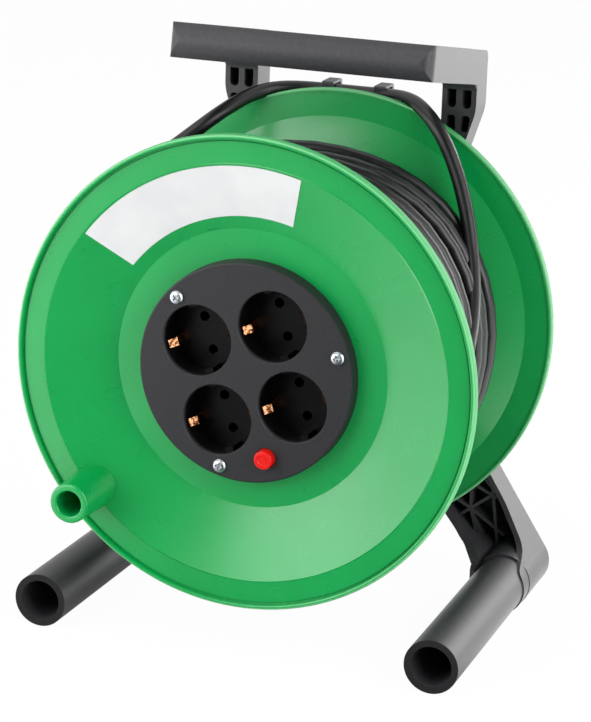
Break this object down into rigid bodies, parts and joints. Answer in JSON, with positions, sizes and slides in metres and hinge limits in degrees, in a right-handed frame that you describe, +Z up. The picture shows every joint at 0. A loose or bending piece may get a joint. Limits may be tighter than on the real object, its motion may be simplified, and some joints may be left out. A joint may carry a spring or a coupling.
{
  "type": "extension cord reel",
  "caption": "Portable cable reel: two-flange drum with earthed outlets, turning knob and reset button, on a moulded X frame with tube feet and a carry handle.",
  "frame": {"origin": "On the ground, at the bottom centre of the reel without its lead: midway between the feet, and midway between the knob's end and the frame's back", "axes": "+Z up; the outlets and the knob face -Y; the drum's axle runs along Y at z = 162 mm; +X is to the right as the outlets are faced"},
  "size_m": [0.2871, 0.2114, 0.3368],
  "materials": {
    "green_plastic": "moulded polypropylene, satin gloss",
    "frame_plastic": "moulded polypropylene, fine texture",
    "insert_plastic": "moulded polyamide, fine texture",
    "cup_plastic": "moulded polyamide, satin",
    "zinc": "zinc plated steel",
    "brass": "stamped brass strip",
    "nickel": "nickel plated brass",
    "red_plastic": "moulded, gloss",
    "label_film": "bare adhesive film",
    "cable_jacket": "smooth flexible jacket"
  },
  "bodies": {
    "frame": {"rear_frame": "frame_plastic", "carry_handle": "frame_plastic", "handle_screws": "zinc", "foot_tube_left": "frame_plastic", "foot_tube_right": "frame_plastic", "foot_tube_screws": "zinc", "axle_spindle": "frame_plastic", "spindle_screws": "zinc", "retaining_washer": "zinc", "axle_screw": "zinc", "cable_free_end": "cable_jacket", "plug_body": "cable_jacket", "plug_pins": "nickel", "plug_earth_strips": "brass"},
    "drum": {"rear_flange": "green_plastic", "front_flange": "green_plastic", "drum_barrel": "green_plastic", "barrel_screws": "zinc", "entry_grommet": "cable_jacket", "strain_clamp": "frame_plastic", "clamp_screws": "zinc", "socket_plate": "insert_plastic", "plate_screws": "zinc", "socket_cup_1": "cup_plastic", "socket_cup_2": "cup_plastic", "socket_cup_3": "cup_plastic", "socket_cup_4": "cup_plastic", "earth_clip_1": "brass", "earth_clip_2": "brass", "earth_clip_3": "brass", "earth_clip_4": "brass", "live_bar": "brass", "neutral_bar": "brass", "contact_carrier": "cup_plastic", "breaker_body": "cup_plastic", "rating_label": "label_film", "cable_winding": "cable_jacket"},
    "button": {"reset_button": "red_plastic"}
  },
  "joints": [
    {"name": "drum_spin", "type": "hinge", "parent": "frame", "child": "drum", "pos_m": [0, 0, 0.162], "axis": [0, 1, 0], "continuous": true},
    {"name": "button_press", "type": "slide", "parent": "drum", "child": "button", "axis": [0, 1, 0], "range_m": [0, 0.0025], "stiffness_N_per_m": 600, "springref_m": -0.001}
  ]
}
